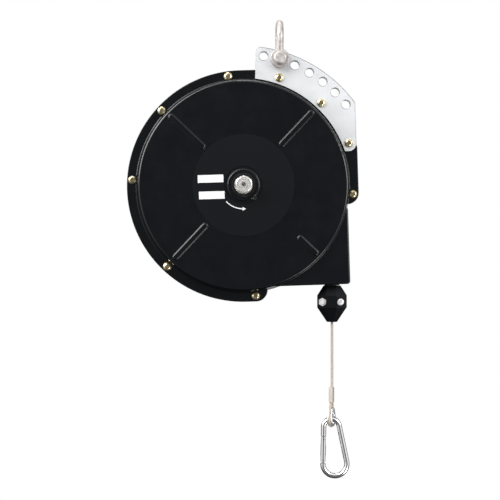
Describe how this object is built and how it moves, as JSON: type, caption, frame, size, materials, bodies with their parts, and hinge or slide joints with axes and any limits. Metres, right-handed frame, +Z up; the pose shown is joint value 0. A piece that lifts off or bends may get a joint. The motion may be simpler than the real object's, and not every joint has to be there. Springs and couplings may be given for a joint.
{
  "type": "spring tool balancer",
  "caption": "Round housing with a spring-driven cable drum, hung by a shackle in a plate with a row of holes; wire cable with stop and snap hook below.",
  "frame": {"origin": "under the crown of the shackle, where the support bears", "axes": "+Z up along the pull of the support, front of the housing facing -Y, +X to the right as seen from the front"},
  "size_m": [0.2602, 0.068, 0.5153],
  "materials": {
    "housing_paint": "gloss powder coat",
    "label_film": "matte printed film",
    "plate_steel": "bright zinc plate",
    "yellow_zinc": "yellow zinc",
    "zinc_steel": "clear zinc",
    "turned_steel": "turned",
    "polished_steel": "polished",
    "dark_steel": "hardened",
    "spring_steel": "blued",
    "bronze": "sintered",
    "cast_drum": "die cast",
    "black_nylon": "moulded",
    "stop_plastic": "moulded",
    "wire_cable": "stranded",
    "ferrule_copper": "pressed"
  },
  "bodies": {
    "housing": {"front_cover": "housing_paint", "rear_cover": "housing_paint", "label_plate": "label_film", "hanger_plate_front": "plate_steel", "hanger_plate_rear": "plate_steel", "flange_screws": "yellow_zinc", "flange_nuts": "yellow_zinc", "hanger_screws": "yellow_zinc", "hanger_nuts": "yellow_zinc", "front_bush": "bronze", "rear_bush": "bronze", "outlet_guide": "black_nylon", "pawl_pivot": "dark_steel", "pawl_spring": "spring_steel"},
    "shackle": {"shackle_bow": "zinc_steel", "shackle_pin": "zinc_steel", "cotter_pin": "zinc_steel"},
    "arbor": {"arbor": "turned_steel", "ratchet_wheel": "dark_steel", "ratchet_key": "dark_steel", "front_retaining_ring": "spring_steel", "rear_retaining_ring": "spring_steel", "thrust_washers": "bronze", "spring_hub": "dark_steel"},
    "pawl": {"pawl": "dark_steel"},
    "drum": {"cable_drum": "cast_drum", "drum_cover": "cast_drum", "drum_cover_screws": "zinc_steel", "drum_front_bush": "bronze", "drum_rear_bush": "bronze", "power_spring": "spring_steel", "spring_post": "dark_steel", "wound_cable": "wire_cable", "cable_anchor": "zinc_steel"},
    "cable_end": {"cable_run": "wire_cable", "cable_thimble": "zinc_steel", "cable_ferrule": "ferrule_copper", "cable_stop_front": "stop_plastic", "cable_stop_rear": "stop_plastic", "stop_screws": "zinc_steel", "stop_nuts": "zinc_steel"},
    "hook": {"snap_hook": "polished_steel", "gate_hinge_pin": "polished_steel"},
    "gate": {"gate": "polished_steel", "gate_latch_pin": "polished_steel", "gate_spring": "spring_steel"}
  },
  "joints": [
    {"name": "drum_spin", "type": "hinge", "parent": "housing", "child": "drum", "pos_m": [-0.04093, 0, -0.17861], "axis": [0, 1, 0], "range_deg": [0, 1140], "stiffness_Nm_per_rad": 0.04, "springref_deg": -3437.75, "deforming": ["power_spring"]},
    {"name": "cable_pull", "type": "slide", "parent": "housing", "child": "cable_end", "axis": [0, 0, -1], "range_m": [0, 2], "deforming": ["cable_run"]},
    {"name": "tension_adjust", "type": "hinge", "parent": "housing", "child": "arbor", "pos_m": [-0.04093, 0, -0.17861], "axis": [0, 1, 0], "continuous": true, "deforming": ["power_spring"]},
    {"name": "pawl_lift", "type": "hinge", "parent": "housing", "child": "pawl", "pos_m": [-0.02082, 0, -0.13948], "axis": [0, 1, 0], "range_deg": [0, 14], "stiffness_Nm_per_rad": 0.05, "springref_deg": -17.19, "deforming": ["pawl_spring"]},
    {"name": "hook_swing", "type": "hinge", "parent": "cable_end", "child": "hook", "pos_m": [0.05858, -0.00155, -0.44068], "axis": [0.9135, -0.4067, 0], "range_deg": [-40, 40]},
    {"name": "gate_open", "type": "hinge", "parent": "hook", "child": "gate", "pos_m": [0.04951, -0.00155, -0.46298], "axis": [0, -1, 0], "range_deg": [0, 28], "stiffness_Nm_per_rad": 0.03, "springref_deg": -22.92, "deforming": ["gate_spring"]},
    {"name": "shackle_swing", "type": "hinge", "parent": "housing", "child": "shackle", "pos_m": [0, 0, -0.03645], "axis": [0, -1, 0], "range_deg": [-85, 55]}
  ],
  "couplings": [
    {"joint": "cable_pull", "follows": "drum_spin", "m_per_rad": 0.1003}
  ]
}
